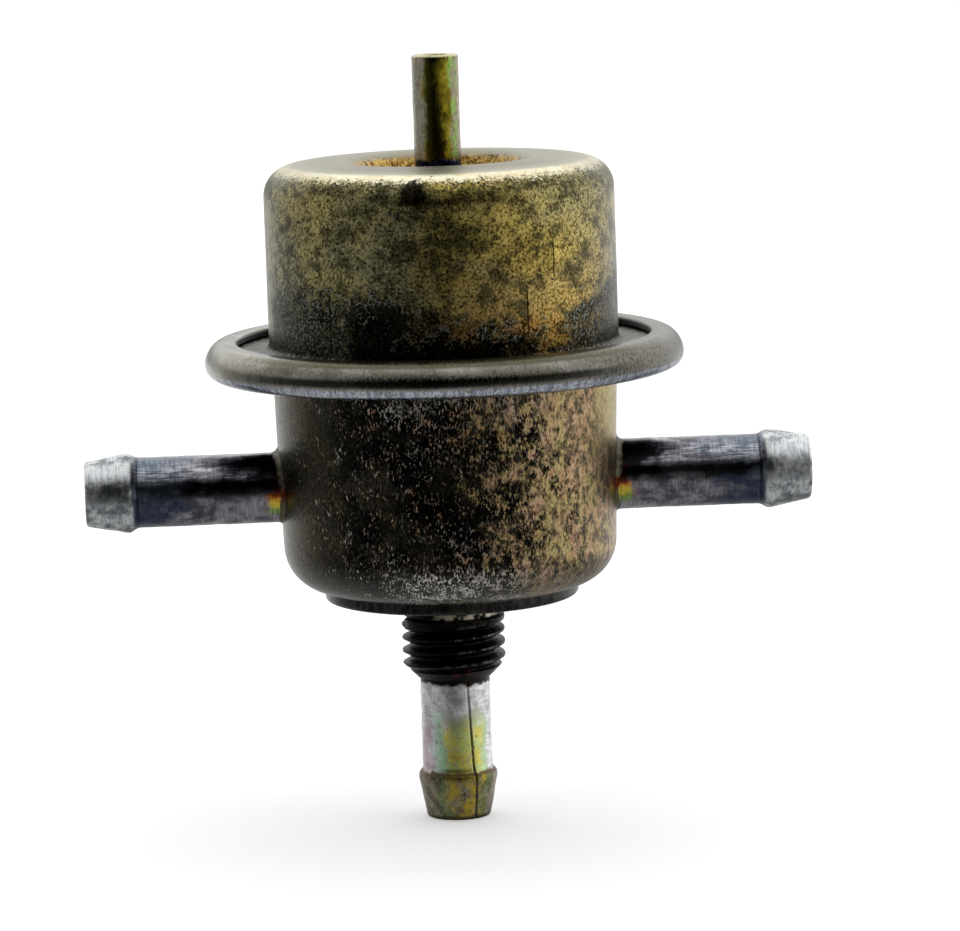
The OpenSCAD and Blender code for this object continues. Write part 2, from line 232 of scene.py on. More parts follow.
def spring_can_outline(inset):
    """The spring housing's surface: inset 0 is its outside and the sheet's thickness its inside."""
    crown, wall = math.radians(CROWN_ANGLE), math.radians(RECESS_WALL_ANGLE)
    flange_c = (SPRING_CAN_R + FLANGE_BEND_R, SPRING_FLANGE_Z + SPRING_SHEET + FLANGE_BEND_R)
    rim_c = (RECESS_CREST_R, CAN_TOP_Z - RECESS_RIM_R)
    shoulder_x = SPRING_CAN_R - SHOULDER_R
    crown_drop = (RECESS_CREST_R - shoulder_x) * math.sin(crown) + RECESS_RIM_R - SHOULDER_R
    shoulder_c = (shoulder_x, rim_c[1] + crown_drop / math.cos(crown))
    rim_end_x = rim_c[0] - RECESS_RIM_R * math.cos(wall)
    rim_end_z = rim_c[1] + RECESS_RIM_R * math.sin(wall)
    floor_c_z = RECESS_FLOOR_Z + RECESS_FLOOR_BEND_R
    wall_drop = rim_end_z - floor_c_z + RECESS_FLOOR_BEND_R * math.sin(wall)
    floor_c_x = rim_end_x - wall_drop * math.tan(wall) - RECESS_FLOOR_BEND_R * math.cos(wall)
    return np.vstack((
        [(STACK_R, SPRING_FLANGE_Z + SPRING_SHEET - inset)],
        bend(flange_c, FLANGE_BEND_R + inset, 270, 180),
        bend(shoulder_c, SHOULDER_R - inset, 0, 90 - CROWN_ANGLE, 20),
        bend(rim_c, RECESS_RIM_R - inset, 90 - CROWN_ANGLE, 180 - RECESS_WALL_ANGLE),
        bend((floor_c_x, floor_c_z), RECESS_FLOOR_BEND_R + inset, -RECESS_WALL_ANGLE, -90),
        [(NIPPLE_FOOT_R, RECESS_FLOOR_Z - inset)],
    ))


def fluid_can_outline(inset):
    """The fluid housing's surface below its rim, from the rim's bend down to the sleeve."""
    bend_c = (FLUID_CAN_R + RIM_BEND_R, WALL_TOP_Z)
    foot_c = (FLUID_FOOT_R - FOOT_CORNER_R, FOOT_Z)
    if inset == 0:
        edge_c = (BRACKET_SEAT_R - SEAT_EDGE_R, SEAT_EDGE_R)
        seat = np.vstack(([(BRACKET_SEAT_R, SEAT_STEP)], bend(edge_c, SEAT_EDGE_R, 0, -90, 8)))
    else:
        inner_x = BRACKET_SEAT_R + STEP_BEND_R - inset
        seat = [(inner_x, SEAT_STEP - STEP_BEND_R + inset), (BRACKET_SEAT_R - inset, inset)]
    return np.vstack((
        bend(bend_c, RIM_BEND_R + inset, 90, 180 - FLUID_TAPER),
        bend(foot_c, FOOT_CORNER_R - inset, -FLUID_TAPER, FOOT_ARC_END, 20),
        seat,
        [(SLEEVE_SHANK_R, inset)],
    ))


def fluid_housing_outline():
    """The housing's closed outline, whose rolled rim is widest a little below its middle."""
    lip_round = FLUID_SHEET / 2 - 0.05
    rim_c = (RIM_R, RIM_Z)
    outer = bend(rim_c, RIM_HEIGHT / 2, 90, -90, 32)
    outer[:, 1] -= RIM_SAG * ((outer[:, 0] - RIM_R) / (RIM_HEIGHT / 2)) ** 2
    return np.vstack((
        bend((LIP_R + lip_round, RIM_TOP_Z - lip_round), lip_round, 180, 90, 8),
        outer,
        fluid_can_outline(0),
        fluid_can_outline(FLUID_SHEET)[::-1],
        bend(rim_c, RIM_HEIGHT / 2 - FLUID_SHEET, -90, 90),
        bend((LIP_R + lip_round, RIM_TOP_Z - FLUID_SHEET + lip_round), lip_round, 270, 180, 8),
    ))


def hose_tube_outline(length):
    """A hose tube from its open end at height 0 to its barb's tip."""
    crest = length - BARB_CONE - BARB_LAND
    sharp = np.array([
        (TUBE_BORE_R, 0), (TUBE_R, 0), (TUBE_R, crest - BARB_BACK), (BARB_R, crest),
        (BARB_R, crest + BARB_LAND), (BARB_TIP_R, length), (TUBE_BORE_R, length),
    ])
    return rounded(sharp, 0.42)


# ---------------------------------------------------------------- meshes


def ripple(points, size, seed):
    """A smooth uneven field, about -1 to 1, with swells about size mm across."""
    field = np.zeros(len(points))
    for wave in range(7):
        turn = seed * 1.7 + wave * 2.4
        tilt = math.sin(seed * 3.1 + wave * 1.9)
        flat = math.sqrt(1 - tilt**2)
        direction = np.array([flat * math.cos(turn), flat * math.sin(turn), tilt])
        pitch = 2 * math.pi / size * (0.6 + 0.13 * wave)
        field += np.sin(points @ direction * pitch + turn * 5)
    return field / 3.5


def solid(name, points, faces, sharp_angle=40):
    """A smooth-shaded closed object from points in mm."""
    mesh = bpy.data.meshes.new(name)
    mesh.from_pydata((np.asarray(points) * MM).tolist(), [], faces)
    shaper = bmesh.new()
    shaper.from_mesh(mesh)
    bmesh.ops.recalc_face_normals(shaper, faces=shaper.faces)
    shaper.to_mesh(mesh)
    shaper.free()
    mesh.shade_smooth()
    mesh.set_sharp_from_angle(angle=math.radians(sharp_angle))
    piece = bpy.data.objects.new(name, mesh)
    bpy.context.scene.collection.objects.link(piece)
    return piece


def ring_faces(rows, columns, closed=True):
    """Quads over rows of columns points: rows run on or close up, columns always close up."""
    faces = []
    for i in range(rows if closed else rows - 1):
        low, high = i * columns, (i + 1) % rows * columns
        for j in range(columns):
            after = (j + 1) % columns
            faces.append((low + j, low + after, high + after, high + j))
    if not closed:
        faces.append(tuple(range(columns)))
        faces.append(tuple(range((rows - 1) * columns, rows * columns)))
    return faces


def turned_points(outline, segments):
    """The points of an outline turned round Z, one ring for each outline point."""
    angles = np.linspace(0, 2 * math.pi, segments, endpoint=False)
    radius = outline[:, 0][:, None]
    rings = np.stack((
        radius * np.cos(angles), radius * np.sin(angles), np.repeat(outline[:, 1][:, None], segments, 1),
    ), axis=2)
    return rings.reshape(-1, 3)


def turned(name, outline, segments=256, place=None, waviness=0.0, swell=9.0, seed=1):
    """A closed outline turned into a body: place moves its points, waviness makes it uneven."""
    points = turned_points(outline, segments)
    if waviness:
        radius = np.hypot(points[:, 0], points[:, 1])
        grown = 1 + waviness * ripple(points, swell, seed) / np.maximum(radius, 1)
        points[:, :2] *= grown[:, None]
    if place:
        points = place(points)
    return solid(name, points, ring_faces(len(outline), segments))


def to_port(side):
    """Moves points from round +Z to the left (-1) or right (1) port's axis."""
    def place(points):
        x, y, z = points.T
        return np.column_stack((side * z, y, PORT_Z + x))
    return place


def cut(piece, cutter):
    """Takes the cutter's volume out of a piece, and removes the cutter."""
    difference = piece.modifiers.new("cut", "BOOLEAN")
    difference.operation = "DIFFERENCE"
    difference.solver = "EXACT"
    difference.object = cutter
    shown = piece.evaluated_get(bpy.context.evaluated_depsgraph_get())
    mesh = bpy.data.meshes.new_from_object(shown)
    piece.modifiers.clear()
    piece.data = mesh
    bpy.data.objects.remove(cutter)
    mesh.set_sharp_from_angle(angle=math.radians(40))


def make_spring_housing():
    outline = np.vstack((spring_can_outline(0), spring_can_outline(SPRING_SHEET)[::-1]))
    return turned("spring_can", refined(outline, 0.6), 288, waviness=0.03, swell=16, seed=2)


def make_fluid_housing():
    piece = turned("fluid_can", refined(fluid_housing_outline(), 0.6), 288, waviness=0.03, swell=14, seed=5)
    drill = np.array([(0.01, -30), (TUBE_R, -30), (TUBE_R, 30), (0.01, 30)])
    cut(piece, turned("port_drill", drill, 96, to_port(1)))
    return piece


def make_port(name, side):
    outline = refined(hose_tube_outline(PORT_REACH - PORT_INNER_X), 0.5)
    outline[:, 1] += PORT_INNER_X
    return turned(name, outline, 160, to_port(side), waviness=0.03, swell=3, seed=4 + side)


def seam_offset(points):
    """Distance in mm round the tube from the seam, for points near the return tube's outside."""
    share = (points[:, 2] - SEAM_TOP[0]) / (SEAM_LOW[0] - SEAM_TOP[0])
    seam = SEAM_TOP[1] + (SEAM_LOW[1] - SEAM_TOP[1]) * share
    around = np.degrees(np.arctan2(points[:, 0], -points[:, 1]))
    return np.radians(around - seam) * np.hypot(points[:, 0], points[:, 1])


def make_return_tube():
    outline = refined(hose_tube_outline(RETURN_TOP_Z + RETURN_REACH), 0.4)

    def place(points):
        points = points * (1, 1, -1) + (0, 0, RETURN_TOP_Z)
        radius = np.hypot(points[:, 0], points[:, 1])
        outside = radius > TUBE_BORE_R + 0.3
        depth = np.where(outside, 0.12 * np.exp(-(seam_offset(points) / 0.11) ** 2), 0)
        points[:, :2] *= (1 - depth / radius)[:, None]
        return points

    return turned("return_pipe", outline, 512, place, waviness=0.03, swell=3, seed=9)


def make_nipple():
    shoulder_z = NIPPLE_NECK_Z + NIPPLE_R - NIPPLE_FOOT_R
    sharp = np.array([
        (NIPPLE_BORE_R, NIPPLE_LOW_Z), (NIPPLE_FOOT_R, NIPPLE_LOW_Z), (NIPPLE_FOOT_R, NIPPLE_NECK_Z),
        (NIPPLE_R, shoulder_z), (NIPPLE_R, NIPPLE_TOP_Z), (NIPPLE_BORE_R, NIPPLE_TOP_Z),
    ])
    return turned("nipple", refined(rounded(sharp, 0.42), 0.5), 128, waviness=0.025, swell=4, seed=6)


def thread_radius(points):
    """The thread's surface at each point's angle and height: a worn right-handed helix."""
    turns = (np.degrees(np.arctan2(points[:, 1], points[:, 0])) - THREAD_START_ANGLE) % 360 / 360 - 1
    cycles = (THREAD_START_Z - points[:, 2]) / THREAD_PITCH + turns
    off_groove = np.abs(cycles - np.round(cycles)) * 2
    flank = np.clip((off_groove - 0.16) / 0.68, 0, 1)
    eased = 0.5 - 0.5 * np.cos(math.pi * flank)
    height = 0.55 * flank + 0.45 * eased
    started = np.clip(cycles * 3 + 1, 0, 1)
    depth = (THREAD_R - THREAD_ROOT_R) * (1 - height) * started
    return THREAD_R - depth + 0.03 * ripple(points, 1.8, 3)


def make_sleeve():
    chamfer = THREAD_R - SLEEVE_END_R
    sharp = np.array([
        (TUBE_R + 0.02, FLUID_SHEET + COLLAR_T), (TUBE_R + 0.02, -SLEEVE_REACH),
        (SLEEVE_END_R, -SLEEVE_REACH), (THREAD_R, chamfer - SLEEVE_REACH),
        (THREAD_R, THREAD_START_Z), (SLEEVE_NECK_R, THREAD_START_Z + 0.3),
        (SLEEVE_NECK_R, SLEEVE_SHANK_Z), (SLEEVE_SHANK_R, SLEEVE_SHANK_Z), (SLEEVE_SHANK_R, FLUID_SHEET),
        (COLLAR_R, FLUID_SHEET), (COLLAR_R, FLUID_SHEET + COLLAR_T),
    ])

    def place(points):
        radius = np.hypot(points[:, 0], points[:, 1])
        threaded = (radius > TUBE_R + 0.1) & (points[:, 2] < THREAD_START_Z + 0.3)
        limit = np.where(threaded, np.minimum(radius, thread_radius(points)), radius)
        points[:, :2] *= (limit / radius)[:, None]
        return points

    return turned("sleeve", refined(sharp, 0.07), 256, place)


def fillet(name, radius, floor_z, leg, seed):
    """An uneven concave ring of filler in the corner between a tube and a flat floor."""
    arc = bend((1, 1), 1, 270, 180, 10)
    buried = [(-BRAZE_OVERLAP, 1), (-BRAZE_OVERLAP, -BRAZE_OVERLAP), (1, -BRAZE_OVERLAP)]
    arc = np.vstack((arc, buried))

    def place(points):
        spread = np.hypot(points[:, 0], points[:, 1]) - radius
        around = np.arctan2(points[:, 1], points[:, 0])
        rim = np.column_stack((np.cos(around), np.sin(around), np.zeros_like(around))) * radius
        reach = radius + spread * leg * (1 + 0.18 * ripple(rim, radius, seed))
        height = points[:, 2] * leg * (1 + 0.22 * ripple(rim, radius * 0.8, seed + 3))
        return np.column_stack((reach * np.cos(around), reach * np.sin(around), floor_z + height))

    return turned(name, arc + (radius, 0), 160, place)


def make_port_braze(name, side):
    """An uneven fillet that follows the saddle where a port meets the can."""
    arc = bend((1, 1), 1, 270, 180, 10)
    arc = np.vstack((arc, [(-BRAZE_OVERLAP, 1), (-BRAZE_OVERLAP, -0.4), (1, -0.12)]))
    slope = math.tan(math.radians(FLUID_TAPER))

    def place(points):
        spread = np.hypot(points[:, 0], points[:, 1]) - TUBE_R
        around = np.arctan2(points[:, 1], points[:, 0])
        rim = np.column_stack((np.cos(around), np.sin(around), np.zeros_like(around))) * TUBE_R
        leg = 0.65 + 0.22 * np.cos(around)
        reach = TUBE_R + spread * leg * (1 + 0.2 * ripple(rim, 4, 4 + side))
        height = points[:, 2] * leg * (1 + 0.2 * ripple(rim, 3, 8 + side))
        y, z = reach * np.sin(around), PORT_Z + reach * np.cos(around)
        wall = np.sqrt((FLUID_FOOT_R + (z - FOOT_Z) * slope) ** 2 - y**2)
        return np.column_stack((side * (wall + height), y, z))

    return turned(name, arc + (TUBE_R, 0), 160, place)


def diaphragm_under_z(radius):
    share = np.clip((radius - CUP_R) / (FOLD_OUTER_R - CUP_R), 0, 1)
    return HUB_Z + (DIAPHRAGM_Z - HUB_Z) * (1 - np.cos(math.pi * share)) / 2


def make_diaphragm():
    radii = np.concatenate(([SPIGOT_R], np.linspace(CUP_R, FOLD_OUTER_R, 24), [STACK_R]))
    under = np.column_stack((radii, diaphragm_under_z(radii)))
    over = (under + (0, DIAPHRAGM_T))[::-1]
    return turned("fabric_diaphragm", refined(np.vstack((under, over)), 0.8), 192)


def make_coil(name, mean_r, wire, turns, low_z, height):
    """A wire coil with close end turns, its ends ground flat."""
    per_turn, sides = 64, 16
    turn = np.linspace(0, turns, round(turns * per_turn) + 1)
    close = np.minimum(turn, COIL_END_TURNS) + np.maximum(turn - turns + COIL_END_TURNS, 0)
    end_pitch = wire * 1.1
    rise = height - wire / 2 - 2 * COIL_END_TURNS * end_pitch
    middle = wire / 4 + close * end_pitch + (turn - close) * rise / (turns - 2 * COIL_END_TURNS)
    round_wire = np.linspace(0, 2 * math.pi, sides, endpoint=False)
    radius = mean_r + wire / 2 * np.cos(round_wire)
    angle = 2 * math.pi * turn[:, None]
    z = np.clip(middle[:, None] + wire / 2 * np.sin(round_wire), 0, height) + low_z
    points = np.stack((radius * np.cos(angle), radius * np.sin(angle), z), axis=2).reshape(-1, 3)
    return solid(name, points, ring_faces(len(turn), sides, closed=False), 60)


# ---------------------------------------------------------------- materials


WHITE = (255, 255, 255)


def colour(red, green, blue):
    """A display colour, 0 to 255, as the linear colour that a shader takes."""
    def linear(value):
        share = value / 255
        return share / 12.92 if share <= 0.04045 else ((share + 0.055) / 1.055) ** 2.4
    return (linear(red), linear(green), linear(blue), 1.0)


class Nodes:
    """Adds nodes to a shader tree. Each helper returns the socket that it makes."""

    def __init__(self, tree, coordinates, scale=1.0):
        self.tree = tree
        source = tree.nodes.new("ShaderNodeTexCoord").outputs[coordinates]
        self.place = self.vector("SCALE", source, scale=scale)
        split = tree.nodes.new("ShaderNodeSeparateXYZ")
        self.put(split.inputs[0], self.place)
        self.x, self.y, self.z = split.outputs

    def put(self, socket, value):
        if isinstance(value, bpy.types.NodeSocket):
            self.tree.links.new(value, socket)
        else:
            socket.default_value = value

    def vector(self, operation, first, second=(0, 0, 0), scale=None):
        node = self.tree.nodes.new("ShaderNodeVectorMath")
        node.operation = operation
        self.put(node.inputs[0], first)
        if scale is None:
            self.put(node.inputs[1], second)
        else:
            self.put(node.inputs["Scale"], scale)
        return node.outputs["Vector"]

    def math(self, operation, *values):
        node = self.tree.nodes.new("ShaderNodeMath")
        node.operation = operation
        for socket, value in zip(node.inputs, values):
            self.put(socket, value)
        return node.outputs[0]

    def chain(self, operation, values):
        result = values[0]
        for value in values[1:]:
            result = self.math(operation, result, value)
        return result

    def times(self, *values):
        return self.chain("MULTIPLY", values)

    def add(self, *values):
        return self.chain("ADD", values)

    def largest(self, *values):
        return self.chain("MAXIMUM", values)

    def opposite(self, share):
        return self.math("SUBTRACT", 1.0, share)

    def absolute(self, value):
        return self.math("ABSOLUTE", value)

    def signed(self, noise):
        """Noise round 0 instead of 0.5."""
        return self.math("SUBTRACT", noise, 0.5)

    def shaken(self, value, noise, amount):
        """The value moved up and down by noise."""
        return self.add(value, self.times(self.signed(noise), amount))

    def rise(self, value, low, high):
        """0 below low, 1 above high, smooth between; high below low turns it round."""
        node = self.tree.nodes.new("ShaderNodeMapRange")
        node.interpolation_type = "SMOOTHSTEP"
        self.put(node.inputs["Value"], value)
        self.put(node.inputs["From Min"], min(low, high))
        self.put(node.inputs["From Max"], max(low, high))
        self.put(node.inputs["To Min"], 0.0 if low < high else 1.0)
        self.put(node.inputs["To Max"], 1.0 if low < high else 0.0)
        return node.outputs[0]

    def band(self, value, low, high, soft):
        """1 between low and high, fading out over soft on each side."""
        above = self.rise(value, low - soft, low + soft)
        return self.times(above, self.rise(value, high + soft, high - soft))

    def noise(self, size, detail=3.0, roughness=0.55, seed=0.0, distortion=0.0, place=None):
        """Cloudy values round 0.5; size is the mm across one cloud along X, Y and Z."""
        spread = self.vector("DIVIDE", place or self.place, size)
        moved = self.vector("ADD", spread, (seed * 7.3, seed * 3.1, seed * 5.7))
        node = self.tree.nodes.new("ShaderNodeTexNoise")
        self.put(node.inputs["Vector"], moved)
        self.put(node.inputs["Scale"], 1.0)
        self.put(node.inputs["Detail"], detail)
        self.put(node.inputs["Roughness"], roughness)
        self.put(node.inputs["Distortion"], distortion)
        return node.outputs[0]

    def mix(self, factor, first, second, mode="MIX"):
        node = self.tree.nodes.new("ShaderNodeMix")
        node.data_type = "RGBA"
        node.blend_type = mode
        self.put(node.inputs[0], factor)
        self.put(node.inputs[6], first)
        self.put(node.inputs[7], second)
        return node.outputs[2]

    def between(self, factor, first, second):
        """A mix of two display colours."""
        return self.mix(factor, colour(*first), colour(*second))

    def painted(self, under, shade, *masks):
        """A display colour laid over what is under it, as far as the masks' product says."""
        return self.mix(self.times(*masks), under, colour(*shade))

    def around(self):
        """Degrees round Z from the front, positive towards the right port."""
        return self.math("DEGREES", self.math("ARCTAN2", self.x, self.math("MULTIPLY", self.y, -1)))

    def radius(self):
        return self.math("SQRT", self.add(self.times(self.x, self.x), self.times(self.y, self.y)))

    def on_wall(self, radius):
        """The point's own direction from Z, at a fixed radius: noise there runs in lines up the wall."""
        flat = self.vector("NORMALIZE", self.vector("MULTIPLY", self.place, (1, 1, 0)))
        return self.vector("SCALE", flat, scale=radius)


class Surface(Nodes):
    """A node material under construction. Places on the object are in millimetres."""

    def __init__(self, name):
        self.material = bpy.data.materials.new(name)
        self.material.use_nodes = True
        super().__init__(self.material.node_tree, "Object", 1 / MM)
        self.shader = self.tree.nodes["Principled BSDF"]

    def finish(self, base, roughness, height=None, metallic=1.0):
        """Ends the material; height is in mm."""
        self.put(self.shader.inputs["Base Color"], base)
        self.put(self.shader.inputs["Roughness"], roughness)
        self.put(self.shader.inputs["Metallic"], metallic)
        if height is not None:
            bump = self.tree.nodes.new("ShaderNodeBump")
            self.put(bump.inputs["Strength"], 1.0)
            self.put(bump.inputs["Distance"], MM)
            self.put(bump.inputs["Height"], height)
            self.put(self.shader.inputs["Normal"], bump.outputs["Normal"])
        return self.material


def spring_can_grime_and_shade(s, around):
    """How much grime the upper can has: black at its lower left and at its right corner; the black on the
    flange, inside the rolled lip, is painted shade.
    """
    left = s.times(s.rise(s.z, 39.5, 34.5), s.band(around, -80, -14, 10), 0.9)
    low_front = s.times(s.rise(s.z, 36, 30), s.band(around, -40, 30, 14))
    climb = s.rise(s.add(s.z, s.times(around, -0.11)), 30.2, 28.2)
    corner = s.times(climb, s.rise(around, 36, 44), s.rise(around, 120, 80), 0.85)
    # Painted shade: black on the flange and the foot of the wall, inside the rolled lip.
    flange = s.times(s.rise(s.z, 31, 29), 1.2)
    grime_and_shade = s.largest(left, low_front, corner, flange)
    stain = s.times(s.rise(s.noise((2.6, 2.6, 2.2), 5, 0.72, seed=6), 0.56, 0.74), 0.7)
    grime_and_shade = s.largest(grime_and_shade, s.times(stain, s.rise(s.z, 48.5, 46.5)))
    return grime_and_shade


def spring_can_marks(s, around, pits, fleck):
    """The black spot and the fine upright scratches."""
    degrees_per_mm = 2.9
    spot_x = s.math("SUBTRACT", around, BLACK_SPOT[0])
    spot_z = s.times(s.math("SUBTRACT", s.z, BLACK_SPOT[1]), degrees_per_mm)
    off_spot = s.math("SQRT", s.add(s.times(spot_x, spot_x), s.times(spot_z, spot_z)))
    marks = s.rise(s.shaken(off_spot, pits, 7), 4.6, 3.4)
    for angle, low, high in SCRATCHES:
        line = s.band(around, angle - 0.3, angle + 0.3, 0.2)
        line = s.times(line, s.band(s.z, low, high, 0.5), s.rise(fleck, 0.3, 0.45))
        marks = s.largest(marks, line)
    return marks


def painted_shoulder_highlight(s, around, blots):
    """The painted highlight on the upper can's shoulder, palest in front and grayer towards the recess and
    the sides.
    """
    shoulder_highlight = s.between(s.rise(blots, 0.42, 0.58), (240, 236, 208), (226, 214, 180))
    shoulder_highlight = s.painted(shoulder_highlight, (172, 168, 150), s.rise(s.radius(), 17.6, 16.4))
    shoulder_highlight = s.painted(shoulder_highlight, (142, 138, 120), s.rise(s.radius(), 17, 13.6))
    shoulder_highlight = s.painted(shoulder_highlight, (168, 166, 150), s.rise(s.absolute(around), 35, 75), 0.5)
    return shoulder_highlight


def spring_can_finish():
    s = Surface("spring_can_finish")
    around = s.around()
    fleck = s.noise((0.26, 0.26, 0.3), 2, 0.6)
    pits = s.noise((0.8, 0.8, 0.9), 4, 0.75, seed=2)
    cloud = s.noise((3.5, 3.5, 3), 4, 0.6, seed=1)
    broad = s.noise((13, 13, 8), 3, 0.5, seed=3)
    grain = s.shaken(s.shaken(s.times(s.signed(fleck), 1.2), pits, 2.4), cloud, 2.2)

    base = s.between(s.rise(cloud, 0.36, 0.64), (140, 128, 68), (214, 192, 108))
    base = s.painted(base, (156, 152, 118), s.rise(broad, 0.42, 0.6), 0.6)
    base = s.painted(base, (148, 148, 122), s.rise(around, 4, -24), 0.5)
    warm = s.times(s.band(around, 0, 75, 18), s.rise(s.z, 46, 33))
    base = s.painted(base, (190, 148, 66), warm, 0.5)
    side = s.rise(s.absolute(around), 45, 80)
    base = s.painted(base, (146, 143, 124), side, 0.6)

    blots = s.noise((1.7, 1.7, 1.4), 5, 0.75, seed=29)
    patches = s.rise(s.add(s.times(blots, 0.7), s.times(cloud, 0.3)), 0.53, 0.42)
    base = s.painted(base, (76, 72, 48), patches, 0.85)
    glint = s.times(s.rise(fleck, 0.6, 0.7), s.rise(blots, 0.46, 0.6))
    base = s.painted(base, (226, 208, 132), glint, 0.6)
    below_shoulder = s.times(s.band(s.z, 47.8, 49.1, 0.4), s.rise(pits, 0.4, 0.56))
    base = s.painted(base, (74, 70, 46), below_shoulder, 0.8)
    # Painted highlight: a pale strip over the top of the shoulder and the flat top round the recess.
    worn = s.rise(s.shaken(s.shaken(s.z, pits, 2.4), fleck, 1.6), 48.9, 49.4)
    shoulder_highlight = painted_shoulder_highlight(s, around, blots)
    base = s.mix(worn, base, shoulder_highlight)
    wall = s.between(s.rise(pits, 0.4, 0.6), (132, 98, 44), (216, 180, 104))
    base = s.mix(s.times(s.rise(s.radius(), 11.4, 10.2), s.rise(s.z, 49.9, 49.2)), base, wall)

    grime_and_shade = spring_can_grime_and_shade(s, around)
    # Grime, and the painted shade on the flange inside the lip, darken the can here.
    dirt_and_shade = s.rise(s.add(grime_and_shade, s.times(grain, s.rise(grime_and_shade, 0.0, 0.2))), 0.3, 0.8)
    marks = spring_can_marks(s, around, pits, fleck)
    rust = s.times(s.rise(blots, 0.44, 0.56), s.band(around, -10, 38, 12), s.rise(s.z, 36, 31.5))
    base = s.painted(base, (172, 108, 38), rust, 0.6)
    dark = s.between(s.rise(s.shaken(fleck, pits, 0.4), 0.5, 0.64), (16, 16, 14), (124, 126, 116))
    base = s.mix(s.times(dirt_and_shade, s.math("SUBTRACT", 0.96, s.times(rust, 0.5))), base, dark)
    ragged = s.add(s.z, s.times(grain, 3))
    swayed = s.add(around, s.times(grain, 22))
    blackest = s.times(s.rise(ragged, 36.4, 34.6), s.band(swayed, -36, -8, 9))
    lowest = s.times(s.rise(ragged, 33, 31.6), s.band(swayed, -36, 30, 12))
    base = s.painted(base, (9, 8, 7), s.largest(blackest, lowest, marks), 0.92)

    speckle = s.rise(fleck, 0.34, 0.58)
    rough_part = s.opposite(s.times(worn, 0.85))
    darkening = s.between(speckle, (120, 115, 88), WHITE)
    base = s.mix(rough_part, base, darkening, "MULTIPLY")
    base = s.painted(base, (30, 27, 18), s.rise(pits, 0.41, 0.33), rough_part, 0.9)
    roughness = s.add(0.28, s.times(speckle, 0.08), s.times(dirt_and_shade, 0.08), s.times(worn, 0.12))
    relief = s.add(s.times(speckle, 0.01), s.times(s.rise(pits, 0.3, 0.5), 0.015))
    return s.finish(base, roughness, s.times(relief, rough_part))


def bare_flecks(s, around, fleck, blots):
    """Small scraped flecks, thickest in front under the rim and above the foot."""
    wear = s.add(
        s.times(s.rise(around, -60, -25), 0.05),
        s.times(s.band(around, -28, 30, 12), s.rise(s.z, 20.5, 24), 0.1),
        s.times(s.band(around, -25, 25, 12), s.rise(s.z, 7, 4.5), 0.12),
        s.times(s.rise(around, -4, 30), 0.05),
        s.times(s.signed(blots), 0.6),
    )
    bare = s.rise(s.add(fleck, wear), 0.64, 0.76)
    return bare


def rim_finish(s, around, cloud, rim):
    """The rolled rim's colour: a dark band in front, grime with a painted dark reflection over it, brown at
    the right, a painted blue-gray reflection underneath and painted shade inside the lip.
    """
    scuffs = s.noise((0.3, 0.3, 0.5), 3, 0.7, seed=7)
    lines = s.noise((0.5, 0.5, 3), 3, 0.7, seed=26, place=s.on_wall(RIM_R))
    rim_metal_and_painted_light = s.between(s.rise(cloud, 0.4, 0.62), (132, 130, 118), (158, 156, 146))
    rim_metal_and_painted_light = s.painted(rim_metal_and_painted_light, (86, 84, 74), s.rise(scuffs, 0.5, 0.34), 0.6)
    rim_metal_and_painted_light = s.painted(rim_metal_and_painted_light, (84, 82, 72), s.rise(lines, 0.55, 0.7), 0.3)
    front = s.rise(s.shaken(s.absolute(s.add(around, 6)), lines, 15), 64, 34)
    right = s.band(around, 34, 130, 10)
    brown = s.between(s.rise(scuffs, 0.36, 0.6), (70, 68, 60), (114, 111, 102))
    rim_metal_and_painted_light = s.mix(s.times(right, 0.8), rim_metal_and_painted_light, brown)
    rim_metal_and_painted_light = s.painted(rim_metal_and_painted_light, (84, 79, 60), s.rise(s.z, 29.3, 29.6), front, 0.85)
    # Dark band in front: grime with a painted dark reflection over it.
    rim_metal_and_painted_light = s.painted(rim_metal_and_painted_light, (14, 13, 12), s.band(s.z, 27.4, 28.3, 0.25), front, 0.9)
    # Painted reflection of the pale table: blue-gray flecks underneath.
    under = s.times(s.rise(s.z, 27.3, 26.9), rim)
    blue = s.between(s.rise(lines, 0.4, 0.6), (150, 156, 172), (210, 216, 230))
    rim_metal_and_painted_light = s.mix(s.times(under, s.rise(scuffs, 0.34, 0.52)), rim_metal_and_painted_light, blue)
    # Painted shade: black on the lip's inner end and inside the rim.
    painted_lip_shade = s.times(s.rise(s.radius(), 24.0, 23.7), s.rise(s.z, 30.0, 29.8))
    rim_metal_and_painted_light = s.painted(rim_metal_and_painted_light, (18, 17, 15), painted_lip_shade)
    return rim_metal_and_painted_light


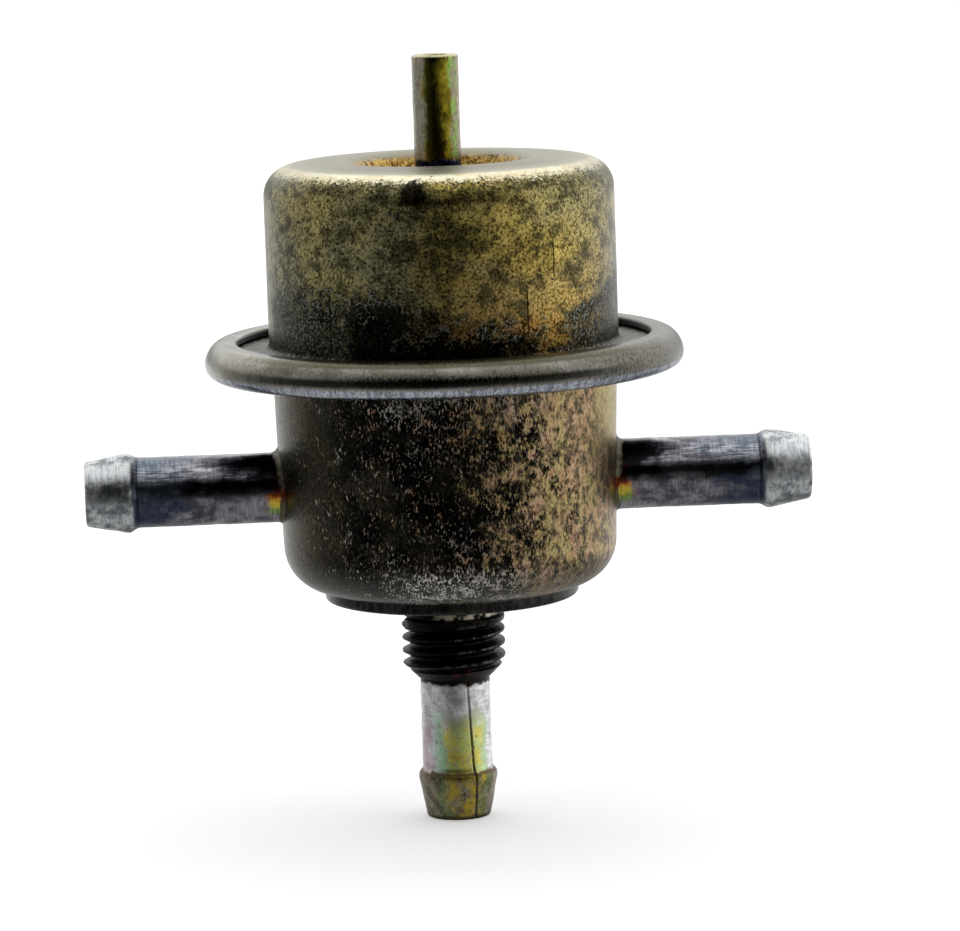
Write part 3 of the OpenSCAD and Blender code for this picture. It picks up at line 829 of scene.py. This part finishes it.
def fluid_can_finish():
    s = Surface("fluid_can_finish")
    around = s.around()
    fleck = s.noise((0.22, 0.22, 0.46), 2.5, 0.6, seed=4)
    pits = s.noise((0.9, 0.9, 1.2), 4, 0.75, seed=5)
    cloud = s.noise((4.5, 4.5, 4), 4, 0.62, seed=8)
    hue = s.noise((3, 3, 3), 2, 0.5, seed=9)
    blots = s.noise((2, 2, 1.6), 4, 0.7, seed=32)
    jitter = s.shaken(s.shaken(s.times(s.signed(cloud), 80), blots, 90), pits, 110)
    jittered = s.add(around, s.shaken(jitter, fleck, 80))

    # Painted dark reflection: black over the front and left of the can.
    black = s.between(s.rise(cloud, 0.42, 0.65), (18, 18, 17), (58, 54, 44))
    glint = s.times(s.rise(fleck, 0.54, 0.66), s.rise(blots, 0.44, 0.56))
    black = s.painted(black, (96, 92, 76), glint, 0.5)
    copper = s.between(s.rise(hue, 0.4, 0.6), (190, 156, 118), (176, 160, 108))
    copper = s.painted(copper, (194, 128, 92), s.rise(blots, 0.54, 0.66), 0.5)
    copper = s.painted(copper, (92, 82, 62), s.rise(pits, 0.58, 0.4))
    # The copper on the right is the can's own colour, outside the painted dark reflection.
    worn = s.times(s.rise(jittered, 6, 40), s.rise(jittered, 150, 110))
    gold = s.times(s.rise(around, 48, 66), s.rise(s.z, 14, 21))
    copper = s.painted(copper, (176, 160, 96), gold, 0.7)
    base = s.mix(worn, black, copper)
    left = s.band(s.shaken(around, cloud, 60), -130, -54, 16)
    base = s.painted(base, (104, 98, 74), left, 0.6)

    bare = bare_flecks(s, around, fleck, blots)
    bare = s.times(bare, s.rise(s.absolute(around), 110, 80), s.opposite(s.times(worn, 0.6)))
    silver = s.between(s.rise(hue, 0.42, 0.56), (184, 180, 174), (206, 166, 132))
    silver = s.painted(silver, (224, 222, 216), s.rise(s.z, 8, 4.5))
    silver = s.painted(silver, (104, 100, 90), s.rise(pits, 0.56, 0.42))
    base = s.mix(bare, base, silver)

    rim = s.rise(s.z, 24.9, 25.6)
    rim_metal_and_painted_light = rim_finish(s, around, cloud, rim)
    base = s.mix(rim, base, rim_metal_and_painted_light)
    foot = s.rise(s.z, 6.5, 3.2)
    base = s.painted(base, (92, 90, 86), foot, 0.55, s.opposite(bare))
    step = s.rise(s.z, 1.5, 1.2)
    base = s.mix(step, base, s.between(s.rise(pits, 0.4, 0.6), (30, 29, 28), (58, 56, 54)))

    speckle = s.rise(fleck, 0.35, 0.6)
    strength = s.opposite(s.times(s.largest(rim, foot, s.times(worn, 0.6)), 0.7))
    base = s.mix(strength, base, s.between(speckle, (150, 146, 138), WHITE), "MULTIPLY")
    roughness = s.add(0.27, s.times(bare, 0.2), s.times(worn, 0.08), s.times(rim, -0.05))
    relief = s.add(s.times(speckle, 0.012), s.times(bare, 0.015), s.times(s.rise(pits, 0.3, 0.5), 0.015))
    return s.finish(base, roughness, s.times(relief, strength))


def soot_and_dark_reflection(s, steel, along, height, cloud, blotch, streak_from, streak_to):
    """Soot and a painted dark reflection over the tube's upper half by the can, and a painted dark
    reflection in a streak along its middle.
    """
    dark_edge = s.shaken(s.shaken(along, cloud, 8), blotch, 8)
    swayed = s.shaken(height, cloud, 3)
    soot_and_reflection_near_can = s.times(s.rise(dark_edge, 24.2, 22.2), s.rise(swayed, -0.4, 0.5))
    # Painted dark reflection: a black streak along the middle of the tube.
    middle = s.times(s.band(dark_edge, streak_from, streak_to, 1.2), s.band(swayed, -0.2, 1.5, 0.4))
    steel = s.painted(steel, (24, 24, 26), s.largest(soot_and_reflection_near_can, middle), 0.88)
    return steel


def heated(s, steel, along, height, cloud):
    """A small spot of heat colours where the tube meets the can."""
    tint = s.shaken(along, cloud, 1.6)
    fine = s.noise((0.4, 0.4, 0.4), 3, 0.7, seed=33)
    tint = s.shaken(tint, fine, 1.6)
    low = s.band(s.shaken(height, cloud, 1.6), -2.5, -0.2, 0.3)
    steel = s.painted(steel, (132, 110, 118), s.rise(tint, 22.0, 21.0), low, 0.5)
    heat = s.between(s.rise(s.shaken(height, fine, 2), -2.2, -1.4), (126, 160, 84), (220, 196, 62))
    heat = s.painted(heat, (196, 112, 40), s.rise(s.shaken(height, fine, 2), -1.3, -0.5))
    steel = s.mix(s.times(s.rise(tint, 21.1, 20.4), low, 0.9), steel, heat)
    ember = s.times(s.rise(tint, 20.3, 20.0), s.band(height, -0.6, 1.6, 0.3))
    steel = s.painted(steel, (96, 34, 14), ember, 0.8)
    return steel


def port_barb_silver_and_painted_light(s, height, cloud, turning):
    """Bright zinc on the barb, lightest above its middle with a painted highlight, and a painted dark
    reflection band across its middle.
    """
    swayed = s.shaken(height, cloud, 3)
    silver = s.between(s.rise(cloud, 0.4, 0.6), (128, 135, 138), (228, 232, 232))
    silver = s.painted(silver, (92, 96, 98), s.rise(turning, 0.54, 0.66), 0.6)
    # Painted dark reflection: a dark band across the middle of the barb.
    silver = s.painted(silver, (84, 88, 92), s.band(swayed, -0.6, 0.8, 0.5), 0.5)
    # Painted highlight: near-white above the middle.
    silver = s.painted(silver, (246, 248, 250), s.band(swayed, 1.6, 3.2, 0.5), 0.7)
    specks = s.rise(s.noise((0.6, 0.5, 0.5), 3, 0.7, seed=27), 0.6, 0.7)
    silver = s.painted(silver, (64, 64, 62), specks, 0.5)
    return silver


def port_finish(name, side, streak_from, streak_to):
    """Turned steel, blued towards the barb, with soot and a painted dark reflection by the can, a painted
    dark reflection streak along the middle and painted highlight streaks on top.
    """
    s = Surface(name)
    along = s.math("MULTIPLY", s.x, side)
    height = s.math("SUBTRACT", s.z, PORT_Z)
    turning = s.noise((0.22, 1.6, 1.6), 3, 0.6, seed=2 + side)
    streaks = s.noise((2.2, 0.3, 0.3), 3, 0.7, seed=11 + side)
    cloud = s.noise((2.2, 1.8, 1.8), 4, 0.62, seed=6 + side)
    blotch = s.noise((4.5, 2.2, 2.2), 3, 0.6, seed=30 + side)
    steel = s.between(s.rise(cloud, 0.38, 0.62), (84, 84, 92), (150, 148, 153))
    blue = s.rise(s.shaken(along, blotch, 14), 28, 33)
    blued = s.between(s.rise(s.shaken(height, blotch, 8), 1.6, -0.6), (108, 120, 134), (46, 58, 82))
    steel = s.mix(s.times(blue, 0.85), steel, blued)
    # Painted highlight: light streaks along the top of the tube.
    upper = s.band(height, 1.4, 3.3, 0.5)
    steel = s.painted(steel, (206, 204, 210), s.rise(streaks, 0.46, 0.62), upper, 0.7)
    steel = s.painted(steel, (46, 46, 50), s.rise(streaks, 0.48, 0.34), 0.35)
    steel = soot_and_dark_reflection(s, steel, along, height, cloud, blotch, streak_from, streak_to)

    steel = heated(s, steel, along, height, cloud)

    barb = s.rise(along, PORT_CREST_X - 0.5, PORT_CREST_X - 0.1)
    silver = port_barb_silver_and_painted_light(s, height, cloud, turning)
    steel = s.mix(barb, steel, silver)
    barb_foot = PORT_CREST_X - BARB_BACK
    steel = s.painted(steel, (30, 30, 40), s.band(along, barb_foot - 0.25, barb_foot + 0.05, 0.15), 0.8)
    lines = s.between(s.rise(turning, 0.36, 0.6), (206, 206, 208), WHITE)
    steel = s.mix(1.0, steel, lines, "MULTIPLY")
    roughness = s.add(0.18, s.times(barb, 0.08), s.times(blue, 0.1), s.times(cloud, 0.08))
    relief = s.add(s.times(turning, 0.006), s.times(cloud, 0.02), s.times(barb, turning, 0.015))
    return s.finish(steel, roughness, relief)


def return_barb_brass(s, shifted, cloud, fine, patches):
    """Dull yellow plating on the return tube's barb, with green edges."""
    brass = s.between(s.rise(cloud, 0.38, 0.62), (96, 90, 76), (150, 142, 122))
    yellow = s.times(s.band(shifted, -20, 36, 10), s.rise(patches, 0.34, 0.6))
    brass = s.painted(brass, (190, 166, 52), yellow, 0.8)
    brass = s.painted(brass, (108, 142, 80), s.band(shifted, -36, -20, 6), 0.5)
    brass = s.painted(brass, (112, 138, 70), s.band(shifted, 36, 52, 6), 0.4)
    brass = s.painted(brass, (50, 44, 32), s.rise(fine, 0.5, 0.34), 0.5)
    return brass


def seamed(s, zinc, around, fine):
    """A dark line in the return tube's seam, fainter near the sleeve."""
    slope = (SEAM_LOW[1] - SEAM_TOP[1]) / (SEAM_LOW[0] - SEAM_TOP[0])
    seam = s.math("SUBTRACT", around, s.add(SEAM_TOP[1] - slope * SEAM_TOP[0], s.times(s.z, slope)))
    line = s.rise(s.absolute(s.shaken(seam, fine, 4)), 3.2, 1.4)
    faint = s.add(0.45, s.times(s.rise(s.z, -12, -15), 0.4))
    zinc = s.painted(zinc, (44, 40, 36), line, s.rise(fine, 0.3, 0.46), faint)
    return zinc


def return_finish():
    s = Surface("return_pipe_finish")
    around = s.around()
    cloud = s.noise((1.3, 1.3, 1.8), 4, 0.65, seed=12)
    fine = s.noise((0.35, 0.35, 0.35), 3, 0.65, seed=13)
    turning = s.noise((2, 2, 0.3), 3, 0.6, seed=14)
    patches = s.noise((1.6, 1.6, 2.2), 3, 0.6, seed=28)
    shifted = s.shaken(around, cloud, 60)
    zinc = s.between(s.rise(cloud, 0.36, 0.62), (184, 184, 186), (232, 232, 234))
    zinc = s.painted(zinc, (132, 134, 134), s.rise(turning, 0.5, 0.64), 0.35)
    below = s.rise(s.shaken(s.z, cloud, 6), -12.5, -15.5)
    warm = s.times(s.band(shifted, -24, 46, 12), below)
    green = s.times(s.band(shifted, -40, -20, 7), s.rise(s.z, -12, -14.5))
    gold = s.between(s.rise(patches, 0.36, 0.6), (232, 216, 56), (196, 214, 116))
    zinc = s.mix(s.times(warm, s.rise(cloud, 0.2, 0.5), 0.85), zinc, gold)
    zinc = s.painted(zinc, (140, 214, 160), green, s.rise(fine, 0.36, 0.56), 0.7)
    zinc = s.painted(zinc, (160, 204, 140), s.band(shifted, 42, 56, 6), below, 0.5)
    zinc = s.painted(zinc, (104, 100, 84), s.rise(fine, 0.5, 0.34), 0.3)
    pink = s.times(s.band(around, -80, -52, 10), s.rise(s.z, -13, -16), s.rise(patches, 0.44, 0.56))
    zinc = s.painted(zinc, (196, 158, 170), pink, 0.6)
    specks = s.rise(s.noise((0.6, 0.6, 0.8), 4, 0.7, seed=15), 0.63, 0.69)
    zinc = s.painted(zinc, (62, 60, 54), specks, 0.9)

    barb = s.rise(s.z, RETURN_CREST_Z + BARB_BACK + 0.1, RETURN_CREST_Z + 0.1)
    brass = return_barb_brass(s, shifted, cloud, fine, patches)
    zinc = s.mix(barb, zinc, brass)
    rust = s.band(s.shaken(s.z, cloud, 1.2), RETURN_CREST_Z + 0.1, RETURN_CREST_Z + 0.5, 0.15)
    zinc = s.painted(zinc, (84, 58, 36), rust, 0.8)
    zinc = s.painted(zinc, (56, 48, 32), s.rise(s.z, -RETURN_REACH + 0.8, -RETURN_REACH + 0.2))
    under_sleeve = s.rise(s.shaken(s.z, cloud, 1.6), -10.1, -9.7)
    zinc = s.painted(zinc, (34, 30, 26), under_sleeve)

    zinc = seamed(s, zinc, around, fine)
    roughness = s.add(0.3, s.times(fine, 0.14), s.times(barb, 0.06))
    relief = s.add(s.times(turning, 0.012), s.times(cloud, 0.03))
    return s.finish(zinc, roughness, relief)


def sleeve_finish():
    s = Surface("sleeve_finish")
    around = s.around()
    cloud = s.noise((0.9, 0.9, 0.9), 4, 0.65, seed=16)
    black = s.between(s.rise(cloud, 0.4, 0.66), (12, 12, 12), (30, 29, 28))
    # Painted highlight: gray on the thread crests at the front right.
    crest = s.times(s.rise(s.radius(), 5.8, 5.9), s.rise(cloud, 0.42, 0.6))
    shown = s.band(s.shaken(around, cloud, 90), 0, 60, 15)
    black = s.painted(black, (116, 116, 118), crest, s.rise(s.z, -2.6, -3.4), shown, 0.6)
    neck = s.times(s.rise(s.z, -2.5, -1.9), s.band(around, -20, 58, 12))
    black = s.painted(black, (186, 178, 156), neck, s.rise(cloud, 0.38, 0.55))
    rusty = s.band(s.shaken(around, cloud, 40), 2, 30, 8)
    rust = s.times(s.band(s.z, -8.8, -8.1, 0.2), rusty, s.rise(cloud, 0.44, 0.6))
    black = s.painted(black, (96, 34, 16), rust, 0.8)
    return s.finish(black, s.add(0.3, s.times(cloud, 0.2)), s.times(cloud, 0.05))


def nipple_finish():
    s = Surface("nipple_finish")
    around = s.around()
    fleck = s.noise((0.28, 0.28, 0.5), 3, 0.6, seed=17)
    cloud = s.noise((1.4, 1.4, 2.6), 3, 0.6, seed=18)
    shifted = s.shaken(around, cloud, 50)
    base = s.between(s.rise(cloud, 0.38, 0.62), (112, 102, 34), (166, 154, 46))
    # Painted highlight: lighter gray on the right side.
    base = s.painted(base, (142, 138, 120), s.band(shifted, 34, 72, 6), 0.85)
    # Painted dark reflection: dark bands across the front, darkest in the middle.
    base = s.painted(base, (42, 44, 22), s.band(shifted, -30, -4, 7), 0.85)
    base = s.painted(base, (30, 18, 12), s.band(shifted, -12, 14, 7), s.rise(s.z, 61, 55), 0.9)
    gray = s.largest(s.rise(shifted, -26, -40), s.rise(shifted, 90, 120))
    base = s.painted(base, (158, 154, 142), gray, 0.9)
    patches = s.noise((1.1, 1.1, 1.3), 3, 0.6, seed=34)
    # Painted highlight in patches on the right side, yellow-green like the metal.
    green = s.times(s.band(shifted, 30, 60, 6), s.rise(patches, 0.46, 0.58))
    base = s.painted(base, (128, 168, 76), green, 0.85)
    base = s.painted(base, (160, 142, 128), s.band(around, 69, 100, 7), 0.8)
    # Darker and blue towards the nipple's foot, down in the recess.
    dark_nipple_base = s.rise(s.shaken(s.z, cloud, 1.6), 50.4, 49.9)
    base = s.mix(dark_nipple_base, base, s.between(s.rise(fleck, 0.46, 0.6), (12, 13, 22), (34, 56, 120)))
    end = s.rise(s.z, NIPPLE_TOP_Z - 0.35, NIPPLE_TOP_Z - 0.05)
    base = s.painted(base, (206, 200, 160), end, 0.8)
    speckle = s.between(s.rise(fleck, 0.34, 0.56), (150, 146, 130), WHITE)
    base = s.mix(0.6, base, speckle, "MULTIPLY")
    return s.finish(base, s.add(0.2, s.times(fleck, 0.12)), s.times(s.add(fleck, cloud), 0.02))


def braze_finish(name, low, high):
    s = Surface(name)
    cloud = s.noise((0.8, 0.8, 0.8), 4, 0.65, seed=19)
    fine = s.noise((0.25, 0.25, 0.25), 2, 0.6, seed=20)
    base = s.between(s.rise(cloud, 0.38, 0.62), low, high)
    return s.finish(base, s.add(0.3, s.times(fine, 0.3)), s.add(s.times(cloud, 0.12), s.times(fine, 0.03)))


def port_braze_finish():
    """Filler metal as dull as the can on top, with heat colours underneath."""
    s = Surface("port_braze_finish")
    cloud = s.noise((0.8, 0.8, 0.8), 4, 0.65, seed=25)
    height = s.add(s.z, -PORT_Z, s.times(s.signed(cloud), 2))
    base = s.between(s.rise(cloud, 0.38, 0.62), (56, 52, 42), (96, 91, 78))
    base = s.painted(base, (84, 34, 18), s.band(height, -0.9, 0.4, 0.3))
    base = s.painted(base, (120, 100, 60), s.band(height, -3.0, -0.9, 0.4), 0.25)
    return s.finish(base, s.add(0.32, s.times(cloud, 0.2)), s.times(cloud, 0.1))


def machined_finish(name, dull, bright, roughness, size, relief):
    """Metal with fine tool or drawing marks; size is the marks' spacing along X, Y and Z."""
    s = Surface(f"{name}_finish")
    marks = s.noise(size, 3, 0.65, seed=21)
    cloud = s.noise((2.5, 2.5, 2.5), 4, 0.6, seed=22)
    base = s.between(s.rise(cloud, 0.35, 0.65), dull, bright)
    base = s.painted(base, dull, s.rise(marks, 0.56, 0.7), 0.4)
    roughness = s.add(roughness, s.times(marks, 0.12), s.times(cloud, 0.08))
    return s.finish(base, roughness, s.times(marks, relief))


def rubber_finish():
    s = Surface("diaphragm_finish")
    weave = s.times(s.math("SINE", s.times(s.x, 9)), s.math("SINE", s.times(s.y, 9)))
    cloud = s.noise((3, 3, 3), 4, 0.6, seed=23)
    base = s.between(s.rise(cloud, 0.35, 0.65), (34, 33, 34), (58, 56, 56))
    relief = s.add(s.times(weave, 0.02), s.times(cloud, 0.03))
    return s.finish(base, s.add(0.62, s.times(cloud, 0.2)), relief, metallic=0.0)


def floor_finish():
    s = Surface("floor_finish")
    cloud = s.noise((60, 60, 60), 2, seed=24)
    base = s.between(s.rise(cloud, 0.3, 0.7), (240, 240, 241), (243, 243, 243))
    s.put(s.shader.inputs["Emission Color"], colour(*WHITE))
    s.put(s.shader.inputs["Emission Strength"], FLOOR_GLOW)
    return s.finish(base, 0.9, metallic=0.0)


# ---------------------------------------------------------------- scene


def add_piece(piece, body, slot, material, *nodes):
    piece.data.materials.clear()
    piece.data.materials.append(material)
    if body:
        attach(piece, body)
    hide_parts(*nodes)
    return piece


def finish_node(node, material):
    mesh_slots = bpy.data.objects[node].material_slots
    for mesh_slot in mesh_slots:
        mesh_slot.material = material


def add_camera():
    """The camera stands in front of the rim's centre, a little to the left and above."""
    azimuth, elevation, roll = np.radians((CAMERA_AZIMUTH, CAMERA_ELEVATION, CAMERA_ROLL))
    flat = math.cos(elevation)
    outwards = Vector((math.sin(azimuth) * flat, -math.cos(azimuth) * flat, math.sin(elevation)))
    eye = Vector((0, 0, RIM_Z)) * MM + outwards * CAMERA_DISTANCE * MM
    aim = Vector(CAMERA_AIM) * MM
    look = (aim - eye).normalized()
    level = look.cross(Vector((0, 0, 1))).normalized()
    right = level * math.cos(roll) + look.cross(level) * math.sin(roll)
    up = right.cross(look)
    camera = bpy.data.objects.new("camera", bpy.data.cameras.new("camera"))
    camera.data.lens = CAMERA_LENS
    camera.data.sensor_width = 36
    camera.data.clip_start = 0.01
    camera.matrix_world = Matrix.Translation(eye) @ Matrix((right, up, -look)).transposed().to_4x4()
    bpy.context.scene.collection.objects.link(camera)
    bpy.context.scene.camera = camera


def add_floor():
    mesh = bpy.data.meshes.new("floor")
    shaper = bmesh.new()
    bmesh.ops.create_circle(shaper, cap_ends=True, segments=64, radius=FLOOR_R)
    shaper.to_mesh(mesh)
    shaper.free()
    mesh.materials.append(floor_finish())
    floor = bpy.data.objects.new("floor", mesh)
    floor.location.z = cad_box[0].z
    floor.visible_glossy = False
    bpy.context.scene.collection.objects.link(floor)


def add_light():
    """A dark opening in front, an even bright ceiling that comes down behind, and a pale table."""
    world = bpy.data.worlds.new("studio")
    bpy.context.scene.world = world
    world.use_nodes = True
    s = Nodes(world.node_tree, "Generated")
    around = s.around()
    elevation = s.math("DEGREES", s.math("ARCSINE", s.z))
    off_front = s.absolute(around)
    left = s.add(s.times(s.rise(around, -8, -80), 0.42), s.times(s.rise(around, -115, -160), 0.6))
    sides = s.add(0.07, left, s.times(s.rise(around, -12, 95), 1.15))
    opening = s.times(s.band(elevation, 5, 36, 7), s.rise(off_front, 75, 35))
    sides = s.times(sides, s.opposite(opening))
    horizon = s.times(s.band(elevation, -3, 8, 3), s.rise(off_front, 140, 165))
    sides = s.times(sides, s.opposite(s.times(horizon, 0.6)))
    behind = s.times(s.rise(elevation, 8, 14), s.rise(off_front, 100, 135))
    sky = s.largest(s.rise(elevation, 33, 72), behind)
    table = s.rise(elevation, -10, -26)
    open_air = s.opposite(s.add(sky, table))
    sky_light = s.times(sky, s.add(1.05, s.times(behind, 0.35)))
    tent = s.add(s.times(sides, open_air), sky_light, s.times(table, 0.5))
    seen = s.tree.nodes.new("ShaderNodeLightPath").outputs["Is Camera Ray"]
    strength = s.add(s.times(tent, s.opposite(seen)), seen)
    background = s.tree.nodes["Background"]
    s.put(background.inputs["Color"], colour(*WHITE))
    s.put(background.inputs["Strength"], strength)
    bpy.context.scene.view_settings.view_transform = "Standard"


def add_outside():
    housing = "housing"
    braze = braze_finish("braze_finish", (52, 42, 28), (140, 112, 62))
    # The nipple's fillet: dark, down in the recess.
    dark_nipple_base = braze_finish("dark_nipple_base_braze_finish", (14, 14, 20), (60, 52, 48))
    add_piece(make_spring_housing(), housing, "spring_can", spring_can_finish(), "spring_housing")
    add_piece(make_fluid_housing(), housing, "fluid_can", fluid_can_finish(), "fluid_housing")
    add_piece(make_nipple(), housing, "nipple_steel", nipple_finish(), "vacuum_nipple")
    nipple_fillet = fillet("nipple_fillet", NIPPLE_FOOT_R, RECESS_FLOOR_Z, 1.1, 2)
    add_piece(nipple_fillet, housing, "braze", dark_nipple_base, "nipple_braze")
    for word, (side, streak_from, streak_to) in zip(("left", "right"), DARK_REFLECTION_STREAKS):
        node = f"{word}_port"
        pipe = make_port(f"{word}_pipe", side)
        pipe_finish = port_finish(f"{word}_pipe_finish", side, streak_from, streak_to)
        add_piece(pipe, housing, "port_steel", pipe_finish, node)
        saddle = make_port_braze(f"{word}_saddle", side)
        add_piece(saddle, housing, "braze", port_braze_finish(), f"{node}_braze")
    add_piece(make_return_tube(), housing, "return_steel", return_finish(), "return_tube")
    add_piece(make_sleeve(), housing, "sleeve_steel", sleeve_finish(), "threaded_sleeve")
    collar_fillet = fillet("collar_fillet", COLLAR_R, FLUID_SHEET, 1.0, 5)
    add_piece(collar_fillet, housing, "braze", braze, "sleeve_braze")
    tube_fillet = fillet("tube_fillet", TUBE_R, FLUID_SHEET + COLLAR_T, 0.9, 7)
    add_piece(tube_fillet, housing, "braze", braze, "return_tube_braze")


def add_inside():
    wire = machined_finish("spring_wire", (70, 72, 80), (150, 152, 158), 0.26, (0.5, 0.5, 0.2), 0.02)
    brass = machined_finish("turned_brass", (150, 116, 60), (214, 178, 104), 0.2, (4, 4, 0.12), 0.015)
    steel = machined_finish("turned_steel", (140, 141, 144), (206, 207, 210), 0.16, (3, 3, 0.1), 0.01)
    plate = machined_finish("pressed_plate", (150, 146, 130), (204, 200, 186), 0.3, (0.9, 0.9, 0.9), 0.03)

    low = BALL_R + BALL_SPRING_WIRE / 2 + BALL_SPRING_GAP
    low_z = BALL_Z + math.sqrt(low**2 - BALL_SPRING_R**2) - BALL_SPRING_WIRE / 4
    room = POCKET_TOP_Z - low_z
    small = make_coil("ball_coil", BALL_SPRING_R, BALL_SPRING_WIRE, BALL_SPRING_TURNS, low_z, room)
    add_piece(small, "valve", "spring_steel", wire, "ball_spring")

    height = SPRING_HIGH_Z - SPRING_LOW_Z
    coil = make_coil("main_coil", SPRING_R, SPRING_WIRE, SPRING_TURNS, SPRING_LOW_Z, height)
    add_piece(coil, "housing", "spring_steel", wire, "main_spring")
    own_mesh(coil)

    diaphragm = add_piece(make_diaphragm(), None, "diaphragm_rubber", rubber_finish(), "diaphragm")
    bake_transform(diaphragm)

    for material, nodes in (
        (brass, ("valve_seat", "valve_holder")),
        (steel, ("valve_plate", "valve_ball", "ball_retainer")),
        (plate, ("clamp_plate", "spring_cup", "spring_seat")),
    ):
        for node in nodes:
            finish_node(node, material)


add_camera()
add_floor()
add_light()
add_outside()
add_inside()
